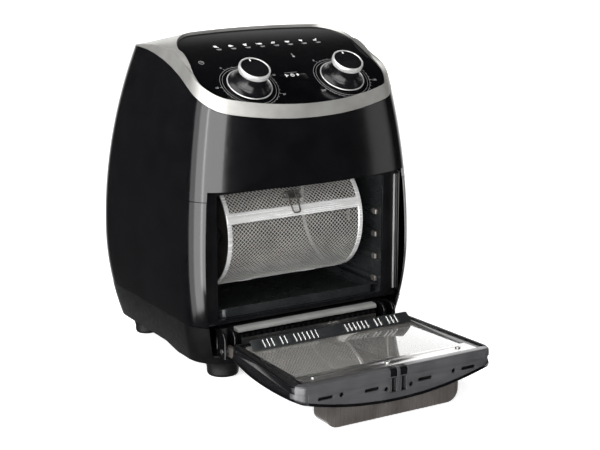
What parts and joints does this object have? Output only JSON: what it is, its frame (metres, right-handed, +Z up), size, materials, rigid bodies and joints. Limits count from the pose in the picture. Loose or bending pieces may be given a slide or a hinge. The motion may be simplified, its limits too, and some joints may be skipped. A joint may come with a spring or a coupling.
{
  "type": "rotisserie oven",
  "caption": "Barrel-shaped countertop air-fryer oven with a drop-down glass door, rotating mesh basket and a sloping control panel with twin dials.",
  "frame": {"origin": "centre of the whole object in plan with its door open, on the plane that the feet stand on", "axes": "+Z up, -Y to the front where the door opens, +X to the viewer's right when facing the door"},
  "size_m": [0.3198, 0.4968, 0.4136],
  "materials": {
    "gloss_black": "piano black gloss",
    "matte_black": "fine-textured matte black",
    "panel_black": "gloss black with printed scales",
    "lens_black": "smoked touch window",
    "satin_silver": "brushed satin silver",
    "cavity_steel": "dark coated steel",
    "sill_steel": "brushed steel",
    "brushed_steel": "brushed steel",
    "mesh_steel": "polished perforated steel",
    "rail_steel": "polished steel",
    "zinc_steel": "zinc-plated steel",
    "element_steel": "heat-darkened sheath",
    "motor_steel": "galvanised sheet",
    "unit_case": "stamped case",
    "brass": "brass",
    "board_green": "solder mask",
    "ceramic_white": "ceramic",
    "lamp_glass": "ribbed heat-proof glass",
    "knob_black": "satin black",
    "knob_ring": "satin chrome",
    "door_glass": "clear toughened glass",
    "door_tint": "smoked toughened glass",
    "frame_grey": "satin dark grey",
    "gasket_rubber": "silicone",
    "handle_chrome": "dark smoked chrome",
    "foot_rubber": "rubber",
    "tray_enamel": "dark enamel"
  },
  "bodies": {
    "oven": {"upper_housing": "gloss_black", "lower_housing": "gloss_black", "base_pan": "matte_black", "base_grille": "matte_black", "rear_vent_cover": "matte_black", "bezel_ring": "satin_silver", "control_panel": "panel_black", "indicator_lens": "lens_black", "cavity_liner": "cavity_steel", "cavity_frame": "cavity_steel", "sill_strip": "sill_steel", "hinge_brackets": "gloss_black", "heating_element": "element_steel", "element_supports": "zinc_steel", "fan_grille": "cavity_steel", "fan_motor": "motor_steel", "drive_motor": "motor_steel", "idler_bracket": "zinc_steel", "timer_unit": "unit_case", "thermostat_unit": "unit_case", "control_board": "board_green", "cavity_lamp": "ceramic_white", "lamp_lens": "lamp_glass", "heat_shield": "zinc_steel", "cord_gland": "matte_black", "feet": "foot_rubber", "base_screws": "zinc_steel", "rear_screws": "zinc_steel"},
    "timer_knob": {"timer_knob_skirt": "knob_black", "timer_knob_body": "knob_black", "timer_knob_ring": "knob_ring", "timer_knob_shaft": "brass"},
    "thermostat_knob": {"thermostat_knob_skirt": "knob_black", "thermostat_knob_body": "knob_black", "thermostat_knob_ring": "knob_ring", "thermostat_knob_shaft": "brass"},
    "door": {"door_outer_shell": "gloss_black", "door_outer_glass": "door_tint", "door_inner_frame": "frame_grey", "door_gasket": "gasket_rubber", "door_inner_glass": "door_glass", "door_glass_strip": "brushed_steel", "door_vent_strip": "cavity_steel", "door_screws": "zinc_steel", "door_handle": "handle_chrome", "handle_screws": "zinc_steel", "hinge_arms": "zinc_steel", "hinge_pins": "zinc_steel"},
    "basket": {"basket_drum": "mesh_steel", "basket_end_caps": "rail_steel", "basket_rails": "rail_steel", "basket_spindles": "zinc_steel"},
    "basket_lid": {"basket_lid": "mesh_steel", "lid_rails": "rail_steel"},
    "basket_latch": {"basket_latch": "zinc_steel"},
    "drive_socket": {"drive_socket": "zinc_steel"},
    "fan": {"fan_blades": "zinc_steel", "fan_shaft": "zinc_steel"},
    "tray": {"drip_tray": "tray_enamel"}
  },
  "joints": [
    {"name": "door_hinge", "type": "hinge", "parent": "oven", "child": "door", "pos_m": [0, -0.05286, 0.045], "axis": [1, 0, 0], "range_deg": [-90, 0]},
    {"name": "timer_turn", "type": "hinge", "parent": "oven", "child": "timer_knob", "pos_m": [-0.065, -0.02136, 0.35888], "axis": [0, 0.5231, -0.8523], "range_deg": [0, 300]},
    {"name": "thermostat_turn", "type": "hinge", "parent": "oven", "child": "thermostat_knob", "pos_m": [0.065, -0.02136, 0.35888], "axis": [0, 0.5231, -0.8523], "range_deg": [0, 270]},
    {"name": "basket_spin", "type": "hinge", "parent": "oven", "child": "basket", "pos_m": [0, 0.04914, 0.173], "axis": [1, 0, 0], "continuous": true},
    {"name": "drive_spin", "type": "hinge", "parent": "oven", "child": "drive_socket", "pos_m": [-0.119, 0.04914, 0.173], "axis": [1, 0, 0], "continuous": true},
    {"name": "lid_hinge", "type": "hinge", "parent": "basket", "child": "basket_lid", "pos_m": [0, 0.03025, 0.10249], "axis": [1, 0, 0], "range_deg": [0, 38]},
    {"name": "latch_hinge", "type": "hinge", "parent": "basket", "child": "basket_latch", "pos_m": [0, -0.00754, 0.21968], "axis": [-1, 0, 0], "range_deg": [0, 75]},
    {"name": "fan_spin", "type": "hinge", "parent": "oven", "child": "fan", "pos_m": [0, 0.06714, 0.281], "axis": [0, 0, 1], "continuous": true},
    {"name": "tray_slide", "type": "slide", "parent": "oven", "child": "tray", "axis": [0, -1, 0], "range_m": [0, 0.15]}
  ],
  "couplings": [
    {"joint": "drive_spin", "follows": "basket_spin", "ratio": 1}
  ]
}
